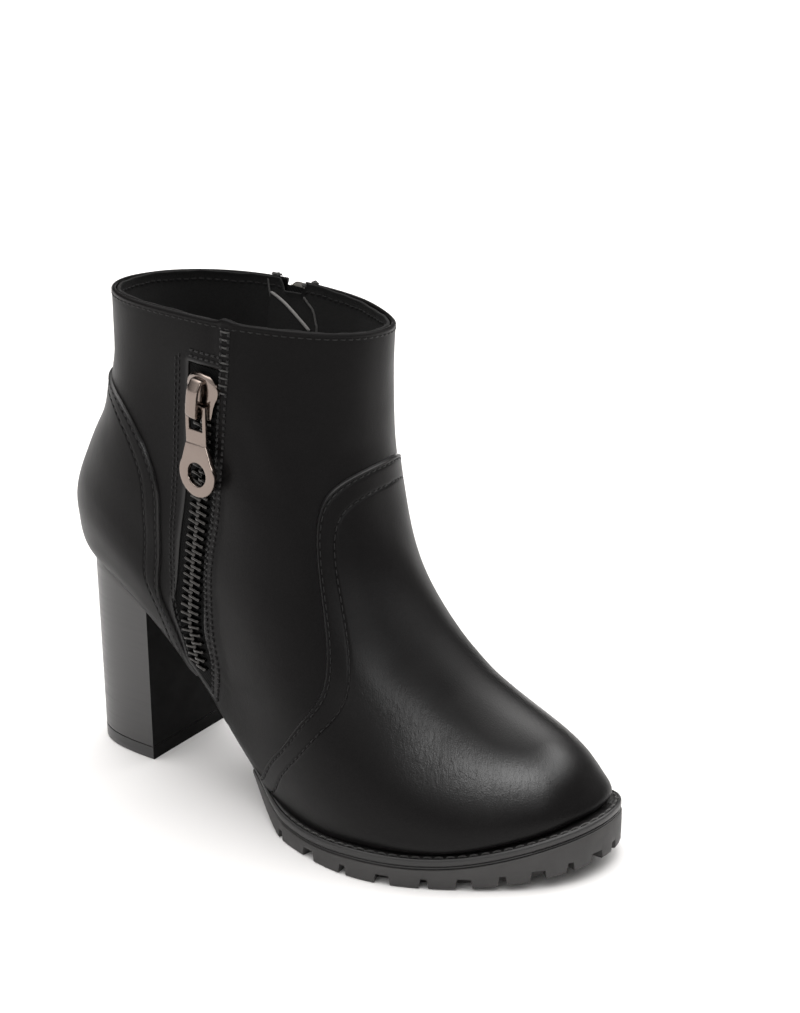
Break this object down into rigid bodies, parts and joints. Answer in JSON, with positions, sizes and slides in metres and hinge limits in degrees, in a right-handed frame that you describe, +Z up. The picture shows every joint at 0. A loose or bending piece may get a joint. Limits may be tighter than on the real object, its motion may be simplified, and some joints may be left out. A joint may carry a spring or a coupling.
{
  "type": "heeled ankle boot",
  "caption": "Black leather ankle boot with a block heel, lugged forefoot platform, decorative metal side zip with a ring pull, instep band and raised heel counter.",
  "frame": {"origin": "middle of the bounding box's base, on the floor under the sole", "axes": "+X towards the toe, +Y towards the inner side of the foot, +Z up"},
  "size_m": [0.2341, 0.1036, 0.1953],
  "materials": {
    "leather": "black coated leather, satin, fine grain",
    "board": "black cloth-covered board, matt",
    "welt_rubber": "black, satin",
    "sole_rubber": "dark grey, matt",
    "heel_wrap": "black stacked look, satin",
    "zip_cloth": "black woven tape",
    "zip_coil": "black nylon coil",
    "black_metal": "black nickel",
    "gunmetal": "polished gunmetal"
  },
  "bodies": {
    "boot": {"upper": "leather", "heel_counter": "leather", "vamp_band": "leather", "insole": "board", "welt": "welt_rubber", "outsole": "sole_rubber", "heel": "heel_wrap", "heel_top_piece": "sole_rubber", "zip_tape_lateral": "zip_cloth", "zip_tape_medial": "zip_cloth", "zip_coil_medial": "zip_coil", "zip_teeth_lateral": "black_metal", "zip_slider_lateral": "gunmetal", "zip_slider_medial": "black_metal"},
    "lateral_pull": {"zip_pull_lateral": "gunmetal"},
    "medial_pull": {"zip_pull_medial": "black_metal"}
  },
  "joints": [
    {"name": "lateral_pull_hinge", "type": "hinge", "parent": "boot", "child": "lateral_pull", "pos_m": [-0.02856, -0.04165, 0.16299], "axis": [-0.9963, 0.0862, 0], "range_deg": [0, 150]},
    {"name": "medial_pull_hinge", "type": "hinge", "parent": "boot", "child": "medial_pull", "pos_m": [-0.05052, 0.04944, 0.17612], "axis": [0.9998, -0.0203, 0], "range_deg": [-8, 140]}
  ]
}
